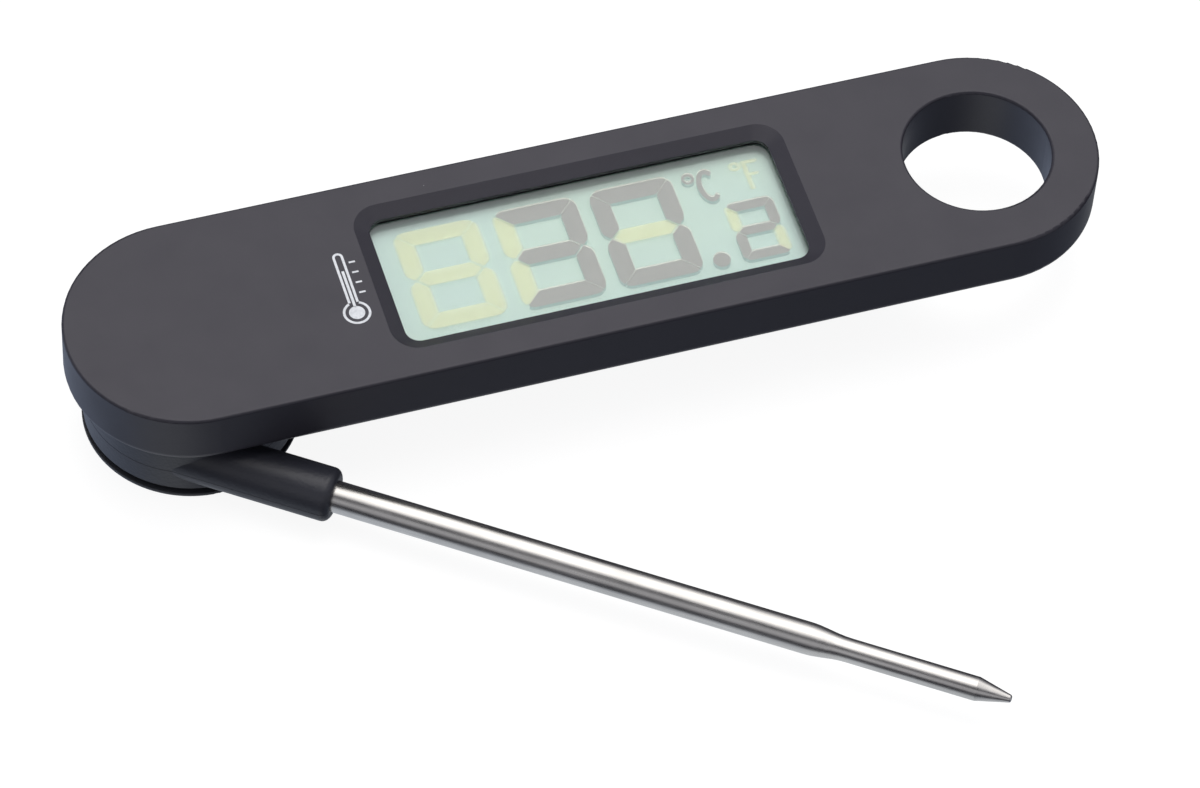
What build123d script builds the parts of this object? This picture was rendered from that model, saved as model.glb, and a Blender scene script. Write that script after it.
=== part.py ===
from build123d import *
import math
import os

os.makedirs("parts", exist_ok=True)

# Folding probe thermometer. Millimetres.
# Origin: on the pivot axis, at the battery cover's flat underside.
# +X points from the pivot to the hanging hole, +Z up through the display.

# Handle
half_width = 15.4
end_centres = 102.15
pivot_inset = 0.2
handle_top = 17.9
handle_bottom = 9.8
wall = 1.8
ceiling = 16.0
top_edge_radius = 0.4
bottom_edge_radius = 1.4
handle_start = -pivot_inset
hole_x = end_centres - pivot_inset
hole_radius = 9.4
hole_wall = 1.5
hole_edge_radius = 0.4

# Display window
window_x = 51.05
window_length = 52.0
window_width = 19.4
window_corner = 1.9
window_floor = 16.9
bezel_ends = 1.95
bezel_sides = 1.75
bezel_corner = 3.5
lens_length = 55.4
lens_width = 22.8
lens_corner = 2.0
lens_seat = 16.5
lens_thickness = 0.7
seal_thickness = 0.1

# Liquid crystal stack, top down
stack_top = 15.6
reflector_thickness = 0.15
glass_thickness = 0.4
glass_length = 56.0
glass_width = 23.6
contact_ledge = 2.0
frame_length = 58.4
frame_width = 25.6

# Circuit board
board_top = 13.1
board_thickness = 0.8
board_right = 84.5
board_half_width = 12.9
board_round_x = 2.6
cover_plate_top = 10.85

# Screws that hold the bottom cover, and their posts
cover_screw_x = (17.5, 84.5)
cover_screw_y = 10.6
post_radius = 2.2
screw_radius = 0.8
screw_head_radius = 1.6
screw_head_height = 0.6
thread_gap = 0.02

# Screws that hold the board
board_screw_spots = ((8.0, 10.6), (8.0, -10.6), (82.0, 0.0))
board_post_radius = 1.5
board_screw_radius = 0.5

# Unit button
button_x = 62.0
button_radius = 1.75
button_travel = 0.25

# Pivot boss, fixed under the handle
boss_radius = 11.5
boss_bottom = 0.65
flange_radius = 12.9
flange_top = 1.3
cell_bay_radius = 10.25
bay_ceiling = 6.7
chamber_floor = 7.7
boss_screw_circle = 7.6
boss_screw_count = 3
window_low = 7.8
window_high = 9.0

# Coin cell
cell_radius = 10.0
cell_height = 3.2
cell_bottom = 2.6

# Battery cover and its bayonet
cover_radius = 13.6
cover_thickness = 0.6
plug_radius = 10.18
plug_top = 2.45
lug_radius = 10.6
lug_bottom = 1.8
lug_width = 20.0
lug_count = 3
cover_turn = 30.0
bayonet_radius = 10.9
bayonet_ledge = 1.75
bayonet_top = 2.5
seal_seat_radius = 10.95
seal_seat_top = 1.25

# Rotating hub
open_angle = 35.7
full_turn = 180.0
hub_radius = 13.45
hub_bore = 11.56
hub_bottom = 1.4
hub_top = 9.65
barrel_offset = 9.78
barrel_radius = 3.43
barrel_axis_z = 4.85
barrel_end = 22.6
barrel_end_radius = 1.05
parting_chamfer = 0.06
stop_angle = 60.0
stop_half_width = 4.0
stop_height = 0.6
magnet_angle = -24.0
magnet_circle = 12.5
magnet_radius = 0.7
magnet_low = 8.0
magnet_high = 9.5

# Probe
shaft_radius = 2.0
tip_radius = 1.5
tube_wall = 0.25
tube_start = 9.0
neck_start = 82.9
neck_end = 88.3
point_start = 104.4
point_end = 108.7
point_radius = 0.45

# Wires
wire_radius = 0.22
lead_spacing = 0.62


def disc(radius, low, high, x=0.0, y=0.0):
    """Upright cylinder between two heights."""
    base = Cylinder(radius, high - low, align=(Align.CENTER, Align.CENTER, Align.MIN))
    return Pos(x, y, low) * base


def ring(outer, inner, low, high):
    """Upright tube about the pivot axis."""
    return disc(outer, low, high) - disc(inner, low, high)


def block(x_range, y_range, z_range):
    """Box between three pairs of limits."""
    size = [pair[1] - pair[0] for pair in (x_range, y_range, z_range)]
    box = Box(*size, align=(Align.MIN, Align.MIN, Align.MIN))
    return Pos(x_range[0], y_range[0], z_range[0]) * box


def polar(radius, angle):
    """Point at a radius and an angle in degrees about the pivot axis."""
    turn = math.radians(angle)
    return radius * math.cos(turn), radius * math.sin(turn)


def sector(outer, inner, low, high, start, end):
    """Part of a tube about the pivot axis, between two angles in degrees."""
    steps = max(2, int((end - start) / 15.0) + 1)
    spots = [polar(outer * 2.0, start + (end - start) * i / steps) for i in range(steps + 1)]
    wedge = make_face(Polyline((0, 0), *spots, close=True))
    return ring(outer, inner, low, high) & extrude(Pos(0, 0, low) * wedge, amount=high - low)


def stadium(radius, low, high):
    """Flat bar with two round ends, centred on the handle's outline."""
    outline = SlotCenterToCenter(end_centres, radius * 2.0)
    middle = handle_start + end_centres / 2.0
    return extrude(Pos(middle, 0, low) * outline, amount=high - low)


def slab(length, width, corner, low, high, shift=0.0):
    """Flat rectangle with rounded corners, centred under the window."""
    outline = RectangleRounded(length, width, corner)
    return extrude(Pos(window_x, shift, low) * outline, amount=high - low)


def along_x(radius, start, end, y, z):
    """Round bar along X."""
    bar = Cylinder(radius, end - start, align=(Align.CENTER, Align.CENTER, Align.MIN))
    return Pos(start, y, z) * Rot(0, 90, 0) * bar


def wire(spots, bend):
    """Thin round wire through a list of points, with rounded bends."""
    path = FilletPolyline(*spots, radius=bend)
    start = Plane(origin=path @ 0, z_dir=path % 0)
    return sweep(start * Circle(wire_radius), path=path)


def round_edges(body, radius, near, height):
    """Edges of a given circle radius at a given height."""
    edges = body.edges().filter_by(GeomType.CIRCLE)
    edges = edges.filter_by(lambda edge: abs(edge.radius - near) < 0.01)
    edges = edges.filter_by(lambda edge: abs(edge.center().Z - height) < 0.01)
    return fillet(edges, radius)


def cover_screw_spots():
    """Centres of the screws in the bottom cover."""
    return [(x, y) for x in cover_screw_x for y in (cover_screw_y, -cover_screw_y)]


def boss_screw_spots():
    """Centres of the screws that hold the pivot boss."""
    step = 360.0 / boss_screw_count
    return [polar(boss_screw_circle, 30.0 + step * i) for i in range(boss_screw_count)]


def window_cut():
    """Sloped bezel that narrows down to the window, the window, and the lens's seat under it."""
    length = window_length + 2 * bezel_ends
    wide = RectangleRounded(length, window_width + 2 * bezel_sides, bezel_corner)
    narrow = RectangleRounded(window_length, window_width, window_corner)
    top = Pos(window_x, 0, handle_top) * wide
    floor = Pos(window_x, 0, window_floor) * narrow
    throat = slab(window_length, window_width, window_corner, ceiling - 0.5, window_floor)
    seat = slab(lens_length + 0.2, lens_width + 0.2, lens_corner, ceiling - 0.5, lens_seat)
    return loft([floor, top]) + throat + seat


def top_cover():
    """Handle shell: flat top, side wall all round, wall of the hanging hole, screw posts."""
    body = stadium(half_width, handle_bottom, handle_top)
    body = fillet(body.edges().group_by(Axis.Z)[-1], top_edge_radius)
    body = fillet(body.edges().group_by(Axis.Z)[0], bottom_edge_radius)
    cavity = stadium(half_width - wall, handle_bottom - 1.0, ceiling)
    cavity -= disc(hole_radius + hole_wall, handle_bottom - 1.0, ceiling, hole_x)
    body -= cavity
    body -= disc(hole_radius, handle_bottom - 1.0, handle_top + 1.0, hole_x)
    body = round_edges(body, hole_edge_radius, hole_radius, handle_top)
    body = round_edges(body, hole_edge_radius, hole_radius, handle_bottom)
    body -= window_cut()
    for x, y in cover_screw_spots():
        body += disc(post_radius, cover_plate_top, ceiling, x, y)
        body -= disc(screw_radius + thread_gap, cover_plate_top, ceiling - 1.0, x, y)
    for x, y in board_screw_spots:
        body += disc(board_post_radius, board_top, ceiling, x, y)
        body -= disc(board_screw_radius + thread_gap, board_top, ceiling - 0.6, x, y)
    return body


def bottom_cover():
    """Plate let into the underside of the handle, with the rib that stops the probe."""
    body = stadium(half_width - wall - 0.05, handle_bottom, cover_plate_top)
    body -= disc(hole_radius + hole_wall + 0.05, handle_bottom, cover_plate_top, hole_x)
    for x, y in cover_screw_spots():
        body -= disc(screw_radius + 0.1, handle_bottom, cover_plate_top, x, y)
        body -= disc(screw_head_radius + 0.15, handle_bottom, handle_bottom + 0.7, x, y)
    for x, y in boss_screw_spots():
        body -= disc(0.7, handle_bottom, cover_plate_top, x, y)
        body -= disc(1.35, cover_plate_top - 0.5, cover_plate_top, x, y)
    body -= disc(5.5, handle_bottom, cover_plate_top)
    body -= disc(button_radius + 0.05, handle_bottom, cover_plate_top, button_x)
    body -= disc(3.0, handle_bottom + 0.5, cover_plate_top, button_x)
    low = stop_angle - stop_half_width
    high = stop_angle + stop_half_width
    return body + sector(12.75, 11.6, handle_bottom - stop_height, handle_bottom, low, high)


def cover_screw(x, y):
    """Self-tapping screw driven up from below, with a cross recess."""
    head = disc(screw_head_radius, handle_bottom + 0.1, handle_bottom + 0.7, x, y)
    head = fillet(head.edges().group_by(Axis.Z)[0], 0.2)
    for turn in (0, 90):
        head -= Pos(x, y, handle_bottom + 0.2) * Rot(0, 0, turn) * Box(1.8, 0.4, 0.5)
    return head + disc(screw_radius, handle_bottom + 0.7, ceiling - 1.2, x, y)


def board_screw(x, y):
    """Small screw that holds the board up against a post."""
    low = board_top - board_thickness
    head = disc(1.1, low - 0.45, low, x, y)
    head = fillet(head.edges().group_by(Axis.Z)[0], 0.15)
    head -= Pos(x, y, low - 0.4) * Box(1.6, 0.3, 0.4)
    return head + disc(board_screw_radius, low, ceiling - 0.8, x, y)


def boss_screw(x, y):
    """Screw driven down through the bottom cover into the pivot boss."""
    head = disc(1.25, cover_plate_top - 0.5, cover_plate_top - 0.05, x, y)
    head -= Pos(x, y, cover_plate_top - 0.1) * Box(1.6, 0.3, 0.4)
    return head + disc(0.6, chamber_floor + 0.5, cover_plate_top - 0.5, x, y)


def group(make, spots):
    """One body made of the same fastener at several places."""
    return Compound(children=[make(x, y) for x, y in spots])


def lens_seal():
    """Thin black adhesive frame between the lens and the handle."""
    low = lens_seat - seal_thickness
    body = slab(lens_length, lens_width, lens_corner, low, lens_seat)
    return body - slab(window_length, window_width, window_corner, low, lens_seat)


def display_lens():
    """Clear flat lens behind the window."""
    high = lens_seat - seal_thickness
    body = slab(lens_length, lens_width, lens_corner, high - lens_thickness, high)
    return chamfer(body.edges().group_by(Axis.Z)[0], 0.15)


def lcd_glass_upper():
    """Upper display glass, whose front edge overhangs the lower one."""
    body = slab(glass_length, glass_width, 0.3, stack_top - glass_thickness, stack_top)
    return chamfer(body.edges().group_by(Axis.Z)[-1], 0.08)


def lcd_glass_lower():
    """Lower display glass."""
    high = stack_top - glass_thickness
    width = glass_width - contact_ledge
    return slab(glass_length, width, 0.3, high - glass_thickness, high, contact_ledge / 2.0)


def lcd_reflector():
    """Rear polariser and reflector film."""
    high = stack_top - 2 * glass_thickness
    width = glass_width - contact_ledge - 0.6
    return slab(glass_length - 1.0, width, 0.3, high - reflector_thickness, high, 1.0)


def lcd_frame():
    """Plastic frame that holds the display glass on the board."""
    body = slab(frame_length, frame_width, 1.2, board_top, stack_top)
    body -= slab(glass_length + 0.1, glass_width + 0.1, 0.4, board_top, stack_top)
    low = stack_top - 2 * glass_thickness - reflector_thickness
    for side in (-1, 1):
        x = window_x + side * (glass_length / 2.0 - 0.4)
        body += block((x - 0.6, x + 0.6), (-6.0, 6.0), (board_top, low))
    return body


def contact_strip():
    """Soft conductive strip from the board up to the upper glass."""
    high = stack_top - glass_thickness
    front = -glass_width / 2.0 + 0.1
    x_range = (window_x - 25.0, window_x + 25.0)
    return block(x_range, (front, front + 1.6), (board_top, high))


def circuit_board():
    """Board with a round left end, cleared around the posts."""
    low = board_top - board_thickness
    y_range = (-board_half_width, board_half_width)
    body = block((2.0, board_right), y_range, (low, board_top))
    round_end = disc(board_half_width, low, board_top, board_round_x)
    body += round_end & block((-12, 3), y_range, (low, board_top))
    for x, y in cover_screw_spots():
        body -= disc(post_radius + 0.3, low, board_top, x, y)
    for x, y in board_screw_spots:
        body -= disc(board_screw_radius + 0.1, low, board_top, x, y)
    return body


def controller_blob():
    """Black resin dome over the controller chip."""
    dome = Pos(5.0, 2.0, board_top - 5.2) * Sphere(6.6)
    return dome & block((0, 10), (-3, 7), (board_top, board_top + 2))


def crystal():
    """Timing crystal in a round metal can, lying on the board, with two leads."""
    body = along_x(1.0, 11.0, 17.0, 3.6, board_top + 1.0)
    body = fillet(body.edges().group_by(Axis.X)[-1], 0.25)
    for y in (3.25, 3.95):
        body += along_x(0.15, 9.9, 11.0, y, board_top + 1.0)
        body += disc(0.15, board_top, board_top + 1.15, 9.9, y)
    return body


def board_passives():
    """Two rows of small chip resistors and capacitors."""
    chips = []
    for i in range(4):
        for y in (-9.6, 7.6):
            x = -3.5 + 2.3 * i
            chips.append(block((x, x + 0.8), (y, y + 1.6), (board_top, board_top + 0.5)))
    return Compound(children=chips)


def reed_switch():
    """Glass reed switch that senses the magnet in the hub."""
    z = board_top + 1.0
    body = along_x(0.8, 8.0, 15.0, -5.1, z)
    body = fillet(body.edges().group_by(Axis.X)[0], 0.4)
    body = fillet(body.edges().group_by(Axis.X)[-1], 0.4)
    for start, end, x in ((6.6, 8.0, 6.6), (15.0, 16.4, 16.4)):
        body += along_x(0.2, start, end, -5.1, z)
        body += disc(0.2, board_top, z + 0.2, x, -5.1)
    return body


def unit_switch_dome():
    """Metal snap dome under the board, above the unit button."""
    high = board_top - board_thickness
    dome = Pos(button_x, 0, high + 5.55) * Sphere(5.9)
    body = dome & block((button_x - 2, button_x + 2), (-2, 2), (high - 0.35, high))
    return body


def unit_button():
    """Small button set just inside the underside of the handle."""
    body = disc(button_radius, handle_bottom + 0.15, handle_bottom + 0.5, button_x)
    body = fillet(body.edges().group_by(Axis.Z)[0], 0.12)
    body += disc(2.6, handle_bottom + 0.5, handle_bottom + 0.8, button_x)
    return body + disc(0.8, handle_bottom + 0.8, 11.95 - button_travel, button_x)


def bayonet_cut(angle):
    """Entry slot and turning groove for one lug of the battery cover."""
    start = angle - lug_width / 2.0 - 1.0
    end = angle + lug_width / 2.0 + 1.0
    groove = sector(bayonet_radius, 9.0, bayonet_ledge, bayonet_top, start, end + cover_turn)
    entry = sector(bayonet_radius, 9.0, seal_seat_top, bayonet_ledge, start + cover_turn, end + cover_turn)
    return groove + entry


def pivot_boss():
    """Fixed hollow post that the hub turns on; the coin cell sits in its lower half."""
    body = disc(boss_radius, boss_bottom, handle_bottom)
    body += disc(flange_radius, boss_bottom, flange_top)
    body -= disc(cell_bay_radius, boss_bottom, bay_ceiling)
    body -= disc(cell_bay_radius, chamber_floor, handle_bottom)
    body -= disc(seal_seat_radius, boss_bottom, seal_seat_top)
    for i in range(lug_count):
        body -= bayonet_cut(i * 360.0 / lug_count)
    for x, y in boss_screw_spots():
        body += disc(1.7, chamber_floor, handle_bottom, x, y)
        body -= disc(0.6 + thread_gap, chamber_floor + 0.4, handle_bottom, x, y)
    body -= sector(12.0, 9.9, window_low, window_high, -136.0, -96.0)
    body -= sector(cell_bay_radius, 9.9, bay_ceiling, chamber_floor, 160.0, 190.0)
    return body - block((-6.15, -5.65), (-1.2, 1.2), (bay_ceiling, chamber_floor))


def coin_cell():
    """Coin cell: the can below, the smaller negative cap on top."""
    rim = cell_bottom + cell_height - 0.3
    can = disc(cell_radius, cell_bottom, rim)
    can = fillet(can.edges().group_by(Axis.Z)[0], 0.5)
    can = fillet(can.edges().group_by(Axis.Z)[-1], 0.25)
    cap = disc(8.6, rim, cell_bottom + cell_height)
    cap = fillet(cap.edges().group_by(Axis.Z)[-1], 0.2)
    return can + cap


def positive_contact():
    """Curved spring strip beside the cell, with a tail up into the upper chamber."""
    return sector(10.22, 10.02, 3.4, 8.8, 163.0, 187.0)


def negative_contact():
    """Leaf spring that presses on the middle of the cell."""
    upper = [(-6.0, 6.6), (-3.0, 6.6), (0.0, 6.02), (3.0, 6.6), (6.0, 6.6)]
    lower = [(x, z - 0.2) for x, z in reversed(upper)]
    profile = make_face(Plane.XZ * Polyline(*upper, *lower, close=True))
    leaf = extrude(profile, amount=2.0, both=True)
    return leaf + block((-6.0, -5.8), (-1.0, 1.0), (6.6, 8.8))


def battery_cover():
    """Turning cover with a coin slot, a raised plug and three bayonet lugs."""
    body = disc(cover_radius, 0.0, cover_thickness)
    body = fillet(body.edges().group_by(Axis.Z)[0], 0.2)
    body = fillet(body.edges().group_by(Axis.Z)[-1], 0.12)
    body += disc(plug_radius, cover_thickness, plug_top)
    body -= disc(8.8, 1.7, plug_top)
    for i in range(lug_count):
        middle = i * 360.0 / lug_count
        half = lug_width / 2.0
        body += sector(lug_radius, 9.5, lug_bottom, plug_top, middle - half, middle + half)
    slot = extrude(SlotOverall(16.0, 2.0), amount=1.0)
    return body - slot


def cover_seal():
    """Rubber ring around the plug of the battery cover."""
    body = ring(10.9, plug_radius, cover_thickness + 0.02, seal_seat_top - 0.03)
    circles = body.edges().filter_by(GeomType.CIRCLE)
    return fillet(circles.filter_by(lambda edge: edge.radius > 10.8), 0.25)


def friction_washer():
    """Ring that presses the hub up and holds the probe at any angle."""
    return ring(12.6, 11.62, flange_top, 1.7)


def placed(body):
    """Turns a body from the folded position to the open position."""
    return Rot(0, 0, -open_angle) * body


def lead_channel():
    """Passage for the wires, from the tube's end up to the groove around the bore."""
    corner = math.sqrt(12.4 ** 2 - barrel_offset ** 2)
    body = along_x(0.7, corner, tube_start, -barrel_offset, barrel_axis_z)
    body += disc(0.65, barrel_axis_z, window_high, corner, -barrel_offset)
    return body + sector(12.7, hub_bore - 0.5, 7.7, 9.1, -86.0, -50.0)


def hub_body():
    """Drum and its side barrel in one, cleared for the boss, washer, stop and tube."""
    drum = disc(hub_radius, hub_bottom, hub_top)
    drum = fillet(drum.edges().group_by(Axis.Z)[0], 0.25)
    drum = fillet(drum.edges().group_by(Axis.Z)[-1], 0.2)
    barrel = along_x(barrel_radius, 0.0, barrel_end, -barrel_offset, barrel_axis_z)
    barrel = fillet(barrel.edges().group_by(Axis.X)[-1], barrel_end_radius)
    body = drum + barrel - disc(hub_bore, 0.0, handle_bottom)
    body -= disc(12.9, 0.0, 1.72)
    low = stop_angle - stop_half_width - 1.0
    high = stop_angle + stop_half_width + 1.0 + full_turn
    body -= sector(13.05, 11.0, handle_bottom - stop_height - 0.1, handle_bottom, low, high)
    body -= along_x(shaft_radius, tube_start, 30.0, -barrel_offset, barrel_axis_z)
    x, y = polar(magnet_circle, magnet_angle)
    body -= disc(magnet_radius + 0.01, magnet_low, handle_bottom, x, y)
    return body - lead_channel()


def outer_parting(edge):
    """True for an outer edge on the parting plane, away from the bore and the tube."""
    middle = edge.center()
    beside_tube = middle.X > tube_start - 2.0 and abs(middle.Y + barrel_offset) < shaft_radius + 0.2
    at_end = middle.X > barrel_end - 1.0
    in_bore = math.hypot(middle.X, middle.Y) < hub_radius - 0.2
    return not in_bore and not (beside_tube and not at_end)


def hub_shell(low, high):
    """One half of the hub, above or below the parting plane."""
    body = hub_body() & block((-30, 60), (-30, 30), (low, high))
    on_plane = body.edges().filter_by_position(Axis.Z, barrel_axis_z - 0.01, barrel_axis_z + 0.01)
    return placed(chamfer(on_plane.filter_by(outer_parting), parting_chamfer))


def hub_magnet():
    """Small magnet let into the top of the hub."""
    x, y = polar(magnet_circle, magnet_angle)
    return placed(disc(magnet_radius, magnet_low, magnet_high, x, y))


def tube_solid(shrink, start, end):
    """Body of revolution along X: shaft, smooth neck, narrow end and point."""
    wide = shaft_radius - shrink
    narrow = tip_radius - shrink
    back = Polyline((neck_start, wide), (start, wide), (start, 0.0), (end, 0.0), (end, point_radius))
    neck = Spline((neck_start, wide), (neck_end, narrow), tangents=((1, 0), (1, 0)))
    front = Polyline((neck_end, narrow), (point_start - shrink, narrow), (end, point_radius))
    return revolve(make_face(back + neck + front), axis=Axis.X)


def probe_tube():
    """Stainless tube that narrows towards its closed, pointed end."""
    body = tube_solid(0.0, tube_start, point_end)
    body = fillet(body.edges().group_by(Axis.X)[-1], 0.3)
    body -= tube_solid(tube_wall, tube_start, point_end - 2.2)
    return placed(Pos(0, -barrel_offset, barrel_axis_z) * body)


def thermistor():
    """Temperature sensor bead near the point."""
    bead = along_x(0.7, 101.1, 103.1, -barrel_offset, barrel_axis_z)
    return placed(fillet(bead.edges().filter_by(GeomType.CIRCLE), 0.55))


def tip_filler():
    """Heat-conducting resin that fills the narrow end around the sensor."""
    body = along_x(tip_radius - tube_wall, 98.5, 104.1, -barrel_offset, barrel_axis_z)
    body -= along_x(0.7, 101.1, 103.1, -barrel_offset, barrel_axis_z)
    for side in (-1, 1):
        y = side * lead_spacing / 2.0 - barrel_offset
        body -= along_x(wire_radius, 98.5, 101.1, y, barrel_axis_z)
    return placed(body)


def probe_lead(side):
    """Wire from the sensor through the tube and around the groove of the hub."""
    corner = math.sqrt(12.4 ** 2 - barrel_offset ** 2)
    shift = side * lead_spacing / 2.0
    y = shift - barrel_offset
    z = 8.4 + side * 0.35
    spots = [(101.1, y, barrel_axis_z), (corner, y, barrel_axis_z), (corner, y, z)]
    for angle in (-62.0, -72.0, -84.0):
        spots.append((*polar(12.15, angle), z))
    return placed(wire(spots, 0.35))


def probe_leads():
    """Both sensor wires."""
    return Compound(children=[probe_lead(side) for side in (-1, 1)])


def link_leads():
    """Sensor wires from the window of the boss up to the board."""
    board = board_top - board_thickness - 0.02
    wires = []
    for side in (-1, 1):
        y = -3.0 + 0.45 * side
        start = (*polar(9.6, -116.0 + 2.4 * side), 8.4)
        wires.append(wire([start, (-1.5, y, 8.9), (-1.5, y, board)], 0.6))
    return Compound(children=wires)


def battery_leads():
    """Wires from the two cell contacts up to the board."""
    board = board_top - board_thickness - 0.02
    first = wire([(-5.5, 0, 8.5), (-2.5, 0.6, 9.0), (-2.5, 0.6, board)], 0.6)
    corner = (-3.2, -1.5, 9.3)
    second = wire([(-9.7, 0, 8.5), (-8.2, -1.5, 9.3), corner, (-3.2, -1.5, board)], 0.6)
    return Compound(children=[first, second])


PARTS = {
    "top_cover": top_cover,
    "bottom_cover": bottom_cover,
    "cover_screws": lambda: group(cover_screw, cover_screw_spots()),
    "lens_seal": lens_seal,
    "display_lens": display_lens,
    "lcd_glass_upper": lcd_glass_upper,
    "lcd_glass_lower": lcd_glass_lower,
    "lcd_reflector": lcd_reflector,
    "lcd_frame": lcd_frame,
    "contact_strip": contact_strip,
    "circuit_board": circuit_board,
    "board_screws": lambda: group(board_screw, board_screw_spots),
    "controller_blob": controller_blob,
    "crystal": crystal,
    "board_passives": board_passives,
    "reed_switch": reed_switch,
    "unit_switch_dome": unit_switch_dome,
    "unit_button": unit_button,
    "pivot_boss": pivot_boss,
    "boss_screws": lambda: group(boss_screw, boss_screw_spots()),
    "coin_cell": coin_cell,
    "positive_contact": positive_contact,
    "negative_contact": negative_contact,
    "battery_cover": battery_cover,
    "cover_seal": cover_seal,
    "friction_washer": friction_washer,
    "hub_upper_shell": lambda: hub_shell(barrel_axis_z, 30.0),
    "hub_lower_shell": lambda: hub_shell(-1.0, barrel_axis_z),
    "hub_magnet": hub_magnet,
    "probe_tube": probe_tube,
    "thermistor": thermistor,
    "tip_filler": tip_filler,
    "probe_leads": probe_leads,
    "link_leads": link_leads,
    "battery_leads": battery_leads,
}

for name, make in PARTS.items():
    export_step(make(), f"parts/{name}.step")
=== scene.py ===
import math

import bmesh
import bpy
from mathutils import Matrix, Vector


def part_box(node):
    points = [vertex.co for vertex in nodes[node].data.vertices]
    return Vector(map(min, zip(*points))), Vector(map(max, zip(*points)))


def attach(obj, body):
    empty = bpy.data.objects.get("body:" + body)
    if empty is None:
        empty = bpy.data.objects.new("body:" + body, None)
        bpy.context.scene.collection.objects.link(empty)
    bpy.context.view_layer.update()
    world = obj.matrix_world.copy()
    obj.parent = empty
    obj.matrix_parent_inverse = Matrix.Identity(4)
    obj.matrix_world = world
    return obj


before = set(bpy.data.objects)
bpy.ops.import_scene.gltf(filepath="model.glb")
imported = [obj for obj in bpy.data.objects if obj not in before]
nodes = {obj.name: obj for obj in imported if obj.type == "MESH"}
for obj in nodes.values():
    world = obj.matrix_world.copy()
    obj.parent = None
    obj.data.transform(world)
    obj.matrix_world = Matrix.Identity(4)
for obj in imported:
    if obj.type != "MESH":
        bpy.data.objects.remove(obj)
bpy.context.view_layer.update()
MM = 0.001

# The probe's direction at rest, as a turn about +Z from +X.
PROBE_TURN = math.radians(-35.7)

# Colours used more than once.
NONE = (0.0, 0.0, 0.0)
FULL = (1.0, 1.0, 1.0)
INK_BLACK = (0.006, 0.006, 0.007)

# Pale light from below the set, and the tent's dark gaps, front and overhead panels.
BELOW = (1.08, 1.11, 1.16)
GAPS = (0.05, 0.05, 0.06)
FRONT = (0.50, 0.50, 0.53)
OVERHEAD = (0.44, 0.44, 0.48)
SOFT_BOX = (1.95, 1.92, 1.90)

# World directions: level and square to the probe, level along it, and up.
ACROSS = (0.583, 0.812, 0.0)
ALONG = (0.812, -0.583, 0.0)
UP = (0.0, 0.0, 1.0)

# The tent by degrees from straight up, turning about the probe towards ACROSS.
TENT = [
    (-180, BELOW), (-124, BELOW), (-110, GAPS), (-86, GAPS), (-74, FRONT), (-54, FRONT),
    (-42, GAPS), (-32, GAPS), (-20, OVERHEAD), (64, OVERHEAD), (80, GAPS), (128, GAPS),
    (142, BELOW),
]
BOX_ACROSS = [(-24, NONE), (-6, FULL), (40, FULL), (60, NONE)]

# By the share of a direction that lies along ALONG: the soft box, and the light from below.
BOX_ALONG = [(-0.6, NONE), (-0.42, FULL), (0.26, FULL), (0.46, NONE)]
LEFT_TO_RIGHT = [
    (-0.7, (0.47, 0.53, 0.66)), (-0.35, (0.36, 0.41, 0.52)), (-0.157, (0.62, 0.63, 0.64)),
    (0.12, (0.62, 0.63, 0.64)), (0.35, (0.27, 0.28, 0.31)), (0.5, (0.125, 0.14, 0.175)),
]

# By the share that lies along UP: where LEFT_TO_RIGHT takes hold.
BELOW_ONLY = [(-0.35, FULL), (0.0, NONE)]

# Digits of the reading, in millimetres: width, height, bar, corner and gap.
BIG_DIGIT = (10.75, 15.4, 2.3, 1.5, 0.08)
SMALL_DIGIT = (6.3, 9.1, 1.3, 1.0, 0.045)

# Left edge, kind and lit bars of each digit, and their common low edge.
READING = [
    (27.92, BIG_DIGIT, ""),
    (40.72, BIG_DIGIT, "abcdg"),
    (53.27, BIG_DIGIT, "abcdef"),
    (69.17, SMALL_DIGIT, "abdeg"),
]
READING_LOW = -7.2

# How far the middle of a round corner lies in from both edges, over the corner's radius.
CORNER_CUT = 0.293

LAMP_TARGET = (0.05, 0.0, 0.01)


# ---------------------------------------------------------------- materials

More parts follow.
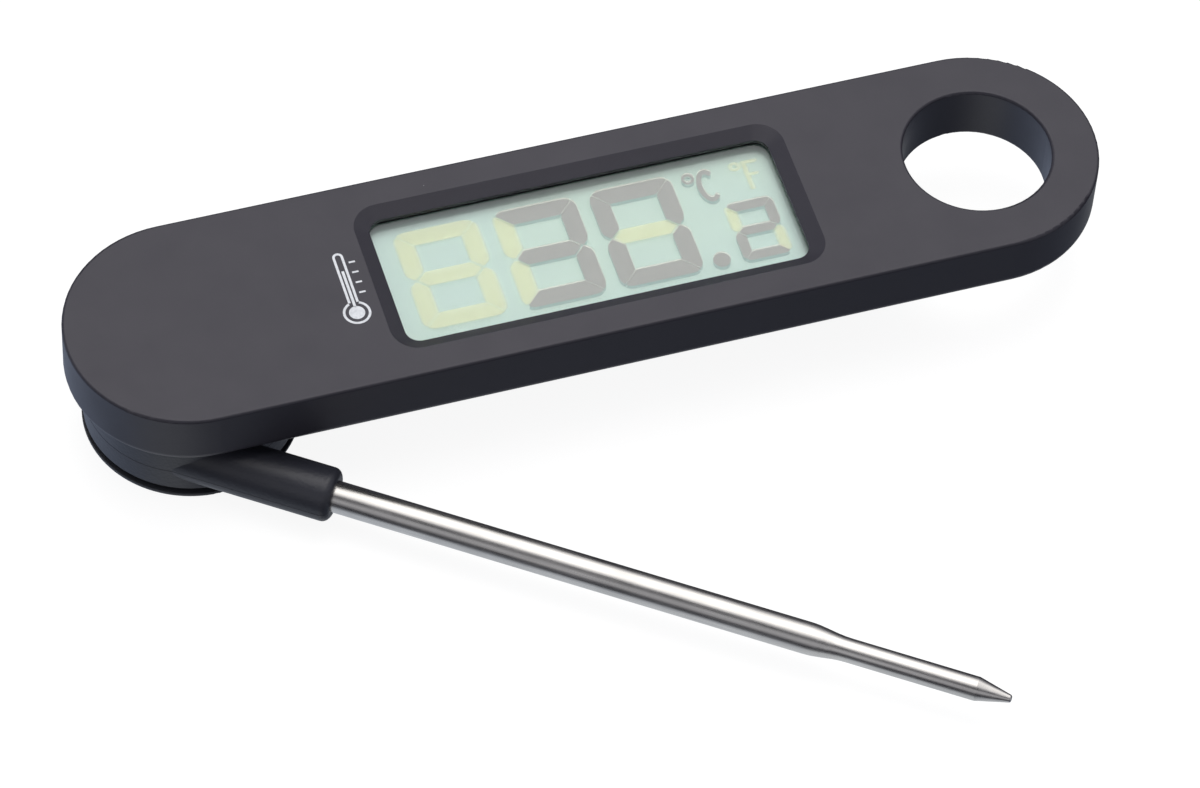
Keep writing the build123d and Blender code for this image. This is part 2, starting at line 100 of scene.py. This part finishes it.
class Tree:
    """A node tree with short ways to add the usual nodes."""

    def __init__(self, tree):
        self.tree = tree

    def node(self, kind, **values):
        """A node with its plain settings and input values."""
        made = self.tree.nodes.new(kind)
        for name, value in values.items():
            if hasattr(made, name):
                setattr(made, name, value)
            else:
                made.inputs[name.replace("_", " ")].default_value = value
        return made

    def link(self, start, end):
        self.tree.links.new(start, end)

    def feed(self, slot, value):
        """Gives an input a number, a colour, or another node's output."""
        if isinstance(value, float):
            slot.default_value = value
        elif isinstance(value, tuple):
            slot.default_value = (*value, 1.0)
        else:
            self.link(value, slot)

    def math(self, operation, first, second):
        """Arithmetic on two values."""
        made = self.node("ShaderNodeMath", operation=operation)
        self.feed(made.inputs[0], first)
        self.feed(made.inputs[1], second)
        return made.outputs[0]

    def dot(self, vector, direction):
        """The share of a vector that lies along a fixed direction."""
        made = self.node("ShaderNodeVectorMath", operation="DOT_PRODUCT")
        made.inputs[1].default_value = direction
        self.link(vector, made.inputs[0])
        return made.outputs["Value"]

    def between(self, value, low, high, start=0.0, end=1.0):
        """A value mapped from one range to another."""
        made = self.node("ShaderNodeMapRange")
        slots = ("From Min", "From Max", "To Min", "To Max")
        for slot, number in zip(slots, (low, high, start, end)):
            made.inputs[slot].default_value = number
        self.link(value, made.inputs["Value"])
        return made.outputs["Result"]

    def colors(self, value, *stops):
        """A colour ramp through (position, colour) stops, with positions from 0 to 1."""
        made = self.node("ShaderNodeValToRGB")
        ramp = made.color_ramp
        while len(ramp.elements) < len(stops):
            ramp.elements.new(0.5)
        for element, (position, color) in zip(ramp.elements, stops):
            element.position = position
            element.color = (*color, 1.0)
        self.link(value, made.inputs["Fac"])
        return made.outputs["Color"]

    def ramp(self, value, low, high, stops):
        """A colour ramp whose stops lie anywhere from low to high."""
        shares = [((position - low) / (high - low), color) for position, color in stops]
        return self.colors(self.between(value, low, high), *shares)

    def mix(self, share, first, second, blend="MIX"):
        """Mix of two colours by a value."""
        made = self.node("ShaderNodeMix", data_type="RGBA", blend_type=blend)
        self.link(share, made.inputs["Factor"])
        self.feed(made.inputs[6], first)
        self.feed(made.inputs[7], second)
        return made.outputs[2]


class Shader(Tree):
    """A material on one shader node, with procedural textures in millimetres."""

    def __init__(self, name, color=(0.5, 0.5, 0.5), rough=0.5, metal=0.0):
        self.made = bpy.data.materials.new(name)
        self.made.use_nodes = True
        super().__init__(self.made.node_tree)
        self.main = self.tree.nodes["Principled BSDF"]
        self.main.inputs["Base Color"].default_value = (*color, 1.0)
        self.set(Roughness=rough, Metallic=metal)

    def place(self, stretch=(1.0, 1.0, 1.0), turn=0.0):
        """Object coordinates in millimetres, stretched along the turned axes."""
        coords = self.node("ShaderNodeTexCoord")
        turned = self.node("ShaderNodeMapping")
        turned.inputs["Rotation"].default_value = (0.0, 0.0, -turn)
        turned.inputs["Scale"].default_value = (1.0 / MM, 1.0 / MM, 1.0 / MM)
        self.link(coords.outputs["Object"], turned.inputs["Vector"])
        stretched = self.node("ShaderNodeMapping")
        stretched.inputs["Scale"].default_value = stretch
        self.link(turned.outputs["Vector"], stretched.inputs["Vector"])
        return stretched.outputs["Vector"]

    def noise(self, scale, detail=3.0, rough=0.5, stretch=(1.0, 1.0, 1.0), turn=0.0):
        """Noise with its scale in cycles per millimetre."""
        made = self.node("ShaderNodeTexNoise", Scale=scale, Detail=detail, Roughness=rough)
        self.link(self.place(stretch, turn), made.inputs["Vector"])
        return made.outputs["Fac"]

    def cells(self, scale):
        """Random cells, with their scale in cells per millimetre."""
        made = self.node("ShaderNodeTexVoronoi", Scale=scale)
        self.link(self.place(), made.inputs["Vector"])
        return made

    def specks(self, spacing, radius, share):
        """One inside sparse tiny spots; share is how many of the cells have one."""
        cells = self.cells(1.0 / spacing)
        reach = radius / spacing
        near = self.between(cells.outputs["Distance"], reach, 0.5 * reach)
        chosen = self.between(cells.outputs["Color"], 1.0 - share, 1.02 - share)
        return self.math("MULTIPLY", near, chosen)

    def bump(self, *layers):
        """Surface relief from (height, depth in millimetres) layers."""
        normal = None
        for height, depth in layers:
            made = self.node("ShaderNodeBump", Strength=1.0, Distance=depth * MM)
            self.link(height, made.inputs["Height"])
            if normal is not None:
                self.link(normal, made.inputs["Normal"])
            normal = made.outputs["Normal"]
        self.link(normal, self.main.inputs["Normal"])

    def color(self, socket):
        self.link(socket, self.main.inputs["Base Color"])

    def blotches(self, value, color, dim, low=0.3, high=0.7):
        """Base colour that drifts between a dimmed colour and the full one."""
        self.color(self.colors(value, (low, tuple(c * dim for c in color)), (high, color)))

    def roughness(self, value, low, high):
        """Roughness from low to high over a noise's usual range."""
        self.link(self.between(value, 0.3, 0.7, low, high), self.main.inputs["Roughness"])

    def set(self, **values):
        """Plain numbers on the shader's own sockets."""
        for name, value in values.items():
            self.main.inputs[name.replace("_", " ")].default_value = value


def moulded(name, dark, light, rough, grain, depth, dust=(0.12, 0.12, 0.13), specular=0.5):
    """Moulded black plastic: fine sparked grain, faint smudges, a few pale dust specks."""
    s = Shader(name)
    patches = s.noise(0.09, 4.0, 0.6)
    fine = s.noise(grain, 2.0, 0.6)
    base = s.colors(patches, (0.3, dark), (0.7, light))
    s.color(s.mix(s.specks(2.6, 0.12, 0.14), base, dust))
    s.roughness(s.noise(0.16, 4.0, 0.6), rough - 0.03, rough + 0.03)
    sparked = s.cells(grain * 0.7).outputs["Distance"]
    s.bump((patches, 0.004), (sparked, depth), (fine, depth * 0.6))
    s.set(Specular_IOR_Level=specular)
    return s.made


def soft_black():
    """Soft-touch coating of the handle: warm charcoal, very fine velvet grain."""
    dark, light, dust = (0.0225, 0.0217, 0.0295), (0.0255, 0.0243, 0.0325), (0.30, 0.30, 0.31)
    made = moulded("soft_black", dark, light, 0.42, 6.5, 0.004, dust)
    tint = made.node_tree.nodes["Principled BSDF"].inputs["Specular Tint"]
    tint.default_value = (0.97, 0.955, 1.0, 1.0)
    return made


def hub_black():
    """Plain moulded plastic of the drum and barrel: cooler, with a coarser spark."""
    dark, light, dust = (0.0195, 0.0208, 0.0285), (0.0255, 0.0268, 0.0355), (0.08, 0.08, 0.09)
    return moulded("hub_black", dark, light, 0.42, 3.2, 0.018, dust, 0.55)


def drawn_steel(name, turn, rough=0.27, color=(0.69, 0.675, 0.65)):
    """Stainless steel drawn lengthwise: long fine scratches, faint blotches."""
    s = Shader(name, color, rough, 1.0)
    lines = s.noise(3.2, 3.0, 0.7, (0.03, 1.0, 1.0), turn)
    long_lines = s.noise(1.1, 2.0, 0.6, (0.015, 1.0, 1.0), turn)
    s.blotches(s.noise(0.12, 3.0, 0.6), color, 0.86, 0.35, 0.65)
    s.roughness(lines, rough - 0.05, rough + 0.1)
    s.bump((long_lines, 0.003), (lines, 0.0015))
    return s.made


def plain_metal(name, color, rough):
    """Small plated or turned metal piece with a fine, slightly blotched surface."""
    s = Shader(name, color, rough, 1.0)
    s.blotches(s.noise(0.5, 4.0, 0.6), color, 0.8)
    s.roughness(s.noise(2.5, 3.0), rough - 0.06, rough + 0.1)
    s.bump((s.noise(6.0, 2.0), 0.002))
    return s.made


def small_piece(name, color, rough, depth=0.004):
    """Non-metal inner piece: slight colour change and fine relief."""
    s = Shader(name, color, rough)
    s.blotches(s.noise(0.6, 4.0, 0.6), color, 0.85)
    s.roughness(s.noise(1.8, 3.0), rough - 0.05, rough + 0.08)
    s.bump((s.noise(4.0, 3.0), depth))
    return s.made


def clear(name, color, alpha, rough=0.04, metal=0.0):
    """Thin clear layer: mostly see-through, with soft reflections and faint haze."""
    s = Shader(name, color, rough, metal)
    haze = s.noise(0.15, 4.0, 0.6)
    s.roughness(haze, rough, rough + 0.05)
    s.bump((haze, 0.001))
    s.set(Alpha=alpha)
    return s.made


def reflector():
    """Matt mint film behind the liquid crystal, with a faint cool drift across it."""
    s = Shader("lcd_mint", rough=0.55)
    cool, warm = (0.425, 0.605, 0.555), (0.45, 0.615, 0.52)
    s.color(s.colors(s.noise(0.035, 2.0), (0.35, cool), (0.65, warm)))
    grain = s.noise(9.0, 2.0)
    s.roughness(grain, 0.5, 0.62)
    s.bump((grain, 0.002))
    return s.made


def ink(name, color, alpha):
    """Liquid-crystal bar or mask: thin and even, see-through by its alpha."""
    s = Shader(name, color, 0.5)
    cloud = s.noise(0.8, 3.0)
    s.blotches(cloud, color, 0.95)
    s.roughness(cloud, 0.45, 0.6)
    s.set(Alpha=alpha)
    return s.made


def print_white():
    """Pad-printed white ink with slightly uneven cover."""
    s = Shader("print_white", rough=0.45)
    cover = s.noise(2.2, 4.0, 0.7)
    s.color(s.colors(cover, (0.3, (0.50, 0.52, 0.55)), (0.6, (0.66, 0.68, 0.71))))
    s.roughness(cover, 0.4, 0.55)
    s.bump((cover, 0.003))
    return s.made


def paint_nodes():
    """Gives every carried-over node its material."""
    hub = hub_black()
    steel = drawn_steel("probe_steel", PROBE_TURN)
    screw = plain_metal("screw_steel", (0.55, 0.55, 0.56), 0.3)
    plated = plain_metal("plated_metal", (0.68, 0.66, 0.6), 0.25)
    glass = clear("lcd_glass", (0.02, 0.025, 0.023), 0.012)
    lead = small_piece("lead_white", (0.75, 0.75, 0.72), 0.45)
    satin = ((0.03, 0.03, 0.033), (0.037, 0.037, 0.041))
    inner = ((0.02, 0.02, 0.022), (0.026, 0.026, 0.028))
    cap = ((0.028, 0.03, 0.036), (0.035, 0.037, 0.044))
    table = {
        "top_cover": soft_black(),
        "bottom_cover": moulded("satin_black", *satin, 0.5, 4.5, 0.01),
        "cover_screws": screw,
        "board_screws": screw,
        "boss_screws": screw,
        "lens_seal": small_piece("print_black", INK_BLACK, 0.4),
        "display_lens": clear("clear_lens", (0.93, 0.93, 0.96), 0.0485, 0.05, 1.0),
        "lcd_glass_upper": glass,
        "lcd_glass_lower": glass,
        "lcd_reflector": reflector(),
        "lcd_frame": small_piece("white_plastic", (0.7, 0.7, 0.68), 0.45),
        "contact_strip": small_piece("strip_rubber", (0.3, 0.3, 0.31), 0.7),
        "circuit_board": small_piece("board_green", (0.02, 0.13, 0.05), 0.3),
        "controller_blob": small_piece("resin_black", (0.015, 0.015, 0.015), 0.2),
        "crystal": plated,
        "board_passives": small_piece("chip_ceramic", (0.3, 0.22, 0.15), 0.5),
        "reed_switch": clear("switch_glass", (0.7, 0.82, 0.78), 0.4),
        "unit_switch_dome": plated,
        "unit_button": small_piece("button_grey", (0.12, 0.12, 0.125), 0.6, 0.008),
        "pivot_boss": moulded("inner_black", *inner, 0.45, 4.0, 0.006),
        "coin_cell": plain_metal("cell_steel", (0.66, 0.66, 0.65), 0.28),
        "positive_contact": plated,
        "negative_contact": plated,
        "battery_cover": moulded("cap_black", *cap, 0.48, 4.2, 0.012),
        "cover_seal": small_piece("seal_rubber", (0.02, 0.02, 0.02), 0.65),
        "friction_washer": small_piece("washer_plastic", (0.62, 0.6, 0.52), 0.35),
        "hub_upper_shell": hub,
        "hub_lower_shell": hub,
        "hub_magnet": plain_metal("magnet_nickel", (0.7, 0.69, 0.66), 0.18),
        "probe_tube": steel,
        "thermistor": small_piece("bead_resin", (0.05, 0.04, 0.04), 0.3),
        "tip_filler": small_piece("filler_resin", (0.55, 0.55, 0.53), 0.6),
        "probe_leads": lead,
        "link_leads": lead,
        "battery_leads": small_piece("lead_red", (0.5, 0.04, 0.03), 0.4),
    }
    for name, made in table.items():
        nodes[name].data.materials.clear()
        nodes[name].data.materials.append(made)


# ---------------------------------------------------------------- flat outlines

def arc(x, y, radius_x, radius_y, start, end, steps=8):
    """Points along part of an ellipse."""
    spots = []
    for i in range(steps + 1):
        turn = math.radians(start + (end - start) * i / steps)
        spots.append((x + radius_x * math.cos(turn), y + radius_y * math.sin(turn)))
    return spots


def disc(x, y, radius):
    """Points round a whole circle."""
    return arc(x, y, radius, radius, 0, 345, 23)


def rectangle(left, low, right, high):
    return [(left, low), (right, low), (right, high), (left, high)]


def band(x, y, radius_x, radius_y, start, end, thick, steps=24):
    """Quads of a curved stroke of even width."""
    outer = arc(x, y, radius_x, radius_y, start, end, steps)
    inner = arc(x, y, radius_x - thick, radius_y - thick, start, end, steps)
    return [[outer[i], outer[i + 1], inner[i + 1], inner[i]] for i in range(steps)]


def border(x, y, half_x, half_y, corner, wide):
    """Quads of a rounded frame around a rounded opening."""
    inner, outer = [], []
    for side_x, side_y, start in ((1, 1, 0), (-1, 1, 90), (-1, -1, 180), (1, -1, 270)):
        at_x, at_y = x + side_x * (half_x - corner), y + side_y * (half_y - corner)
        inner += arc(at_x, at_y, corner, corner, start, start + 90)
        outer += arc(at_x, at_y, corner + wide, corner + wide, start, start + 90)
    quads = []
    for i in range(len(inner)):
        after = (i + 1) % len(inner)
        quads.append([outer[i], outer[after], inner[after], inner[i]])
    return quads


def digit_bars(left, low, wide, high, bar, corner, gap):
    """Outlines of a seven-bar digit, keyed by the usual letters a to g.

    Where the bars meet, their points lie at shares of the bar's width.
    """
    mid = high / 2.0
    cut = corner * CORNER_CUT

    def top_bar():
        spots = [(bar + gap, high - bar), (cut + gap, high - cut)]
        spots += arc(corner + gap, high - corner, corner, corner, 128, 90, 4)
        spots += arc(wide - corner - gap, high - corner, corner, corner, 90, 52, 4)
        return spots + [(wide - cut - gap, high - cut), (wide - bar - gap, high - bar)]

    def upper_left():
        spots = [(bar, high - bar - gap), (cut, high - cut - gap)]
        spots += arc(corner, high - corner - gap, corner, corner, 142, 180, 4)
        spots += [(0.0, mid + bar * 0.62), (bar * 0.09, mid + bar * 0.34)]
        return spots + [(bar * 0.42, mid + gap), (bar, mid + bar * 0.58)]

    def middle():
        half, point = bar * 0.48, bar * 0.52 + gap
        start, end = bar + gap, wide - bar - gap
        spots = [(point, mid), (start, mid + half), (end, mid + half)]
        return spots + [(wide - point, mid), (end, mid - half), (start, mid - half)]

    def turned(spots, flip_x, flip_y):
        moved = [(wide - x if flip_x else x, high - y if flip_y else y) for x, y in spots]
        return [(left + x, low + y) for x, y in moved]

    return {
        "a": turned(top_bar(), False, False),
        "b": turned(upper_left(), True, False),
        "c": turned(upper_left(), True, True),
        "d": turned(top_bar(), False, True),
        "e": turned(upper_left(), False, True),
        "f": turned(upper_left(), False, False),
        "g": turned(middle(), False, False),
    }


# ---------------------------------------------------------------- display and print

def add_object(name, data):
    """A new object in the scene."""
    made = bpy.data.objects.new(name, data)
    bpy.context.scene.collection.objects.link(made)
    return made


def flat_piece(name, outlines, height, thick, made, shift=(0.0, 0.0)):
    """Flat shapes on the handle from outlines in millimetres, lying at one height.

    Without a thickness they're a film, which casts no shadow.
    """
    mesh = bpy.data.meshes.new(name)
    work = bmesh.new()
    for spots in outlines:
        moved = [(x + shift[0], y + shift[1]) for x, y in spots]
        corners = [work.verts.new((x * MM, y * MM, height * MM)) for x, y in moved]
        face = work.faces.new(corners)
        face.normal_update()
        if face.normal.z < 0:
            face.normal_flip()
    if thick:
        grown = bmesh.ops.extrude_face_region(work, geom=work.faces[:])
        raised = [item for item in grown["geom"] if isinstance(item, bmesh.types.BMVert)]
        bmesh.ops.translate(work, verts=raised, vec=(0.0, 0.0, thick * MM))
        bmesh.ops.recalc_face_normals(work, faces=work.faces[:])
    work.to_mesh(mesh)
    work.free()
    mesh.materials.append(made)
    made_object = add_object(name, mesh)
    made_object.visible_shadow = thick > 0.0
    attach(made_object, "handle")


def display_marks():
    """Lit and unlit bars of the reading as films in the display glass, a painted shadow of the
    lit bars, and a mask round it.
    """
    lit, faint = [], []
    for left, kind, letters in READING:
        for letter, outline in digit_bars(left, READING_LOW, *kind).items():
            (lit if letter in letters else faint).append(outline)
    lit.append(disc(66.42, -6.2, 1.1))
    lit += band(66.17, 7.1, 0.82, 0.82, 0, 360, 0.34)
    lit += band(68.4, 5.45, 1.42, 2.55, 48, 312, 0.66)
    faint += band(72.47, 7.45, 0.7, 0.7, 0, 360, 0.3)
    faint += [
        rectangle(73.47, 3.45, 73.92, 8.05),
        rectangle(73.97, 7.6, 75.37, 8.05),
        rectangle(73.97, 5.65, 75.07, 6.05),
    ]
    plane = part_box("lcd_glass_upper")[0].z / MM + 0.02
    glass_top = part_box("lcd_glass_upper")[1].z / MM
    dark = ink("bar_lit", (0.248, 0.262, 0.236), 1.0)
    warm = ink("bar_warm", (0.74, 0.56, 0.48), 0.34)
    # The cool teal ink is painted shadow: the films cast no shadow, so this stands in for the
    # lit bars' shadow on the mint reflector.
    cool = ink("bar_painted_shadow", (0.20, 0.40, 0.39), 0.36)
    pale = ink("bar_unlit", (0.80, 0.77, 0.36), 0.17)
    flat_piece("reading_lit", lit, plane, 0.0, dark)
    flat_piece("reading_warm", lit, plane - 0.08, 0.0, warm, (0.1, 0.3))
    # Painted shadow of the lit bars: a teal copy set lower and shifted towards the front.
    flat_piece("reading_painted_shadow", lit, plane - 0.3, 0.0, cool, (-0.05, -0.24))
    for i, shift in enumerate(((0.0, 0.0), (0.2, 0.1), (-0.18, 0.16))):
        flat_piece("reading_unlit_%d" % i, faint, plane - 0.05 * i, 0.0, pale, shift)
    rim = border(51.05, 0.0, 26.3, 10.1, 1.9, 1.5)
    flat_piece("view_mask", rim, glass_top + 0.02, 0.02, ink("mask_black", INK_BLACK, 1.0))


def printed_mark():
    """Plain thermometer pictogram printed beside the window, along the handle's width."""
    x, bulb_y, tube_top, stroke = 20.0, -4.2, 4.6, 0.32
    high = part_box("top_cover")[1].z / MM - 0.004
    shapes = band(x, bulb_y, 1.75, 1.75, 113, 427, stroke, 36)
    shapes += band(x, tube_top, 0.68, 0.68, 0, 180, stroke, 16)
    for wall in (x - 0.52, x + 0.52):
        shapes.append(rectangle(wall - stroke / 2, -2.6, wall + stroke / 2, tube_top))
    shapes.append(disc(x, bulb_y, 1.0))
    shapes.append(rectangle(x - 0.17, -3.3, x + 0.17, 2.4))
    for i in range(4):
        tick = -1.4 + 1.6 * i
        shapes.append(rectangle(x + 1.1, tick, x + 1.9, tick + 0.26))
    flat_piece("printed_mark", shapes, high, 0.012, print_white())


# ---------------------------------------------------------------- set

def stage_floor():
    """Plain white light table that catches only a faint soft shadow."""
    s = Shader("floor_white", (0.15, 0.15, 0.15), 0.9)
    s.set(Specular_IOR_Level=0.0, Emission_Color=(1.0, 1.0, 1.0, 1.0), Emission_Strength=0.91)
    half_size = 6.0
    low = -0.05 * MM
    square = rectangle(-half_size, -half_size, half_size, half_size)
    mesh = bpy.data.meshes.new("floor")
    mesh.from_pydata([(x, y, low) for x, y in square], [], [(0, 1, 2, 3)])
    mesh.materials.append(s.made)
    floor = add_object("floor", mesh)
    floor.visible_diffuse = False
    floor.visible_glossy = False


def stage_world():
    """Grey tent, pale below, with one soft box behind and above, square to the probe.

    The camera sees plain white in its place.
    """
    world = bpy.data.worlds.new("studio")
    world.use_nodes = True
    w = Tree(world.node_tree)
    seen = w.node("ShaderNodeTexCoord").outputs["Generated"]
    above = w.dot(seen, UP)
    along = w.dot(seen, ALONG)
    turn = w.math("MULTIPLY", w.math("ARCTAN2", w.dot(seen, ACROSS), above), 180.0 / math.pi)
    across_box = w.ramp(turn, -180.0, 180.0, BOX_ACROSS)
    along_box = w.ramp(along, -1.0, 1.0, BOX_ALONG)
    tent = w.ramp(turn, -180.0, 180.0, TENT)
    left_to_right = w.ramp(along, -1.0, 1.0, LEFT_TO_RIGHT)
    below_only = w.ramp(above, -1.0, 1.0, BELOW_ONLY)
    shaded = w.mix(below_only, tent, left_to_right, "MULTIPLY")
    light = w.mix(w.math("MULTIPLY", across_box, along_box), shaded, SOFT_BOX)
    back = w.tree.nodes["Background"]
    w.link(light, back.inputs["Color"])
    plain = w.node("ShaderNodeBackground", Color=(1.0, 1.0, 1.0, 1.0))
    path = w.node("ShaderNodeLightPath")
    both = w.node("ShaderNodeMixShader")
    w.link(path.outputs["Is Camera Ray"], both.inputs[0])
    w.link(back.outputs[0], both.inputs[1])
    w.link(plain.outputs[0], both.inputs[2])
    w.link(both.outputs[0], w.tree.nodes["World Output"].inputs["Surface"])
    bpy.context.scene.world = world


def area_light(name, place, size, power, color=FULL):
    """Soft square fill light aimed at the handle, with no mirror image of its own."""
    data = bpy.data.lights.new(name, "AREA")
    data.shape = "RECTANGLE"
    data.size, data.size_y = size
    data.energy = power
    data.color = color
    lamp = add_object(name, data)
    lamp.location = place
    lamp.visible_glossy = False
    aim = Vector(LAMP_TARGET) - Vector(place)
    lamp.rotation_euler = aim.to_track_quat("-Z", "Y").to_euler()


def stage_camera():
    """Long lens from the front left, well above the handle."""
    data = bpy.data.cameras.new("camera")
    data.lens = 177.2
    data.sensor_width = 36.0
    place = (-0.10495, -0.42552, 0.5909)
    right = Vector((0.9546, -0.2948, 0.0432))
    up = Vector((0.2118, 0.7734, 0.5975))
    back = Vector((-0.2095, -0.5612, 0.8007))
    turn = Matrix((right, up, back)).transposed()
    camera = add_object("camera", data)
    camera.matrix_world = Matrix.Translation(place) @ turn.to_4x4()
    bpy.context.scene.camera = camera


paint_nodes()
display_marks()
printed_mark()
stage_floor()
stage_world()
area_light("top", (0.15, 0.3, 1.1), (0.7, 0.7), 5.4)
area_light("left", (-0.9, -0.1, 0.2), (0.6, 0.4), 1.2, (0.85, 0.92, 1.0))
stage_camera()
bpy.context.scene.view_settings.view_transform = "Standard"

# The lens, glass and films lie in a stack deeper than the usual limit.
bpy.context.scene.cycles.transparent_max_bounces = 24
